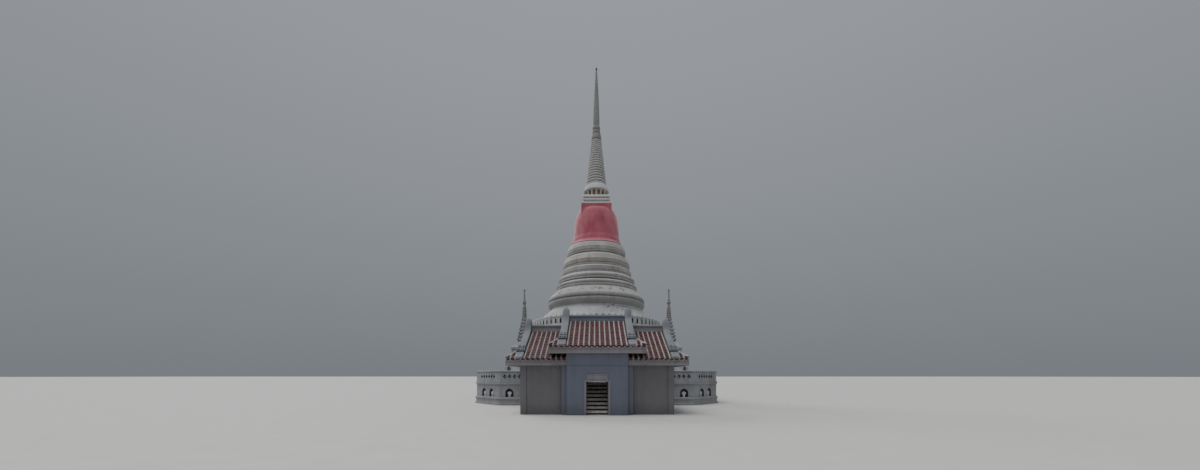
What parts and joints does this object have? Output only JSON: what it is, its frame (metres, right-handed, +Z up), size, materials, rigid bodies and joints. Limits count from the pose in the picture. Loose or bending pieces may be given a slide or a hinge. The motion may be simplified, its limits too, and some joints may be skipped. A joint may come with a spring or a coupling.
{
  "type": "bell-shaped stupa with terrace and entrance hall",
  "caption": "Tall plastered bell stupa with a ringed spire and red cloth, on a square terrace with corner stupas and a tiled entrance hall with a stair.",
  "frame": {"origin": "on the ground, on the axis of the main stupa", "axes": "+Z up the spire, -Y towards the entrance, +X to the right of someone who faces the entrance"},
  "size_m": [22.49, 31.045, 38],
  "materials": {
    "plaster": "weathered lime plaster, matt",
    "old_plaster": "grey-stained lime plaster, matt",
    "roof_tile": "worn red-brown clay tile",
    "cloth": "crimson cotton cloth, matt",
    "finial": "darkened bronze",
    "paving": "worn cement paving"
  },
  "bodies": {
    "root": {"terrace_plinth": "old_plaster", "terrace_body": "plaster", "terrace_floor": "paving", "niche_wall_front_left": "plaster", "niche_wall_front_right": "plaster", "niche_wall_corner_left": "plaster", "niche_wall_corner_right": "plaster", "balustrade_front_left": "plaster", "balustrade_front_right": "plaster", "balustrade_left": "plaster", "balustrade_right": "plaster", "balustrade_rear": "plaster", "drum": "plaster", "lamp_niche_band": "plaster", "flared_slope": "old_plaster", "torus_ring": "old_plaster", "lower_ring_mouldings": "old_plaster", "upper_ring_mouldings": "old_plaster", "bell": "plaster", "red_cloth": "cloth", "harmika_base": "plaster", "harmika": "plaster", "colonnade": "plaster", "spire_foot": "plaster", "ringed_spire": "plaster", "spire_bead": "plaster", "smooth_spire": "plaster", "finial": "finial", "corner_stupa_front_left": "plaster", "corner_stupa_front_right": "plaster", "corner_stupa_rear_left": "plaster", "corner_stupa_rear_right": "plaster", "bay_wall_left": "plaster", "bay_wall_right": "plaster", "door_lintel": "plaster", "door_surround": "plaster", "bay_gable_left": "plaster", "bay_gable_right": "plaster", "bay_roof": "roof_tile", "wing_front_wall_left": "plaster", "wing_front_wall_right": "plaster", "wing_side_wall_left": "plaster", "wing_side_wall_right": "plaster", "rear_wall_left": "plaster", "rear_wall_right": "plaster", "rear_lintel": "plaster", "wing_roof_left": "roof_tile", "wing_roof_right": "roof_tile", "wing_gable_left": "plaster", "wing_gable_right": "plaster", "hall_floor_left": "paving", "hall_floor_right": "paving", "entrance_stair": "paving"}
  },
  "joints": []
}
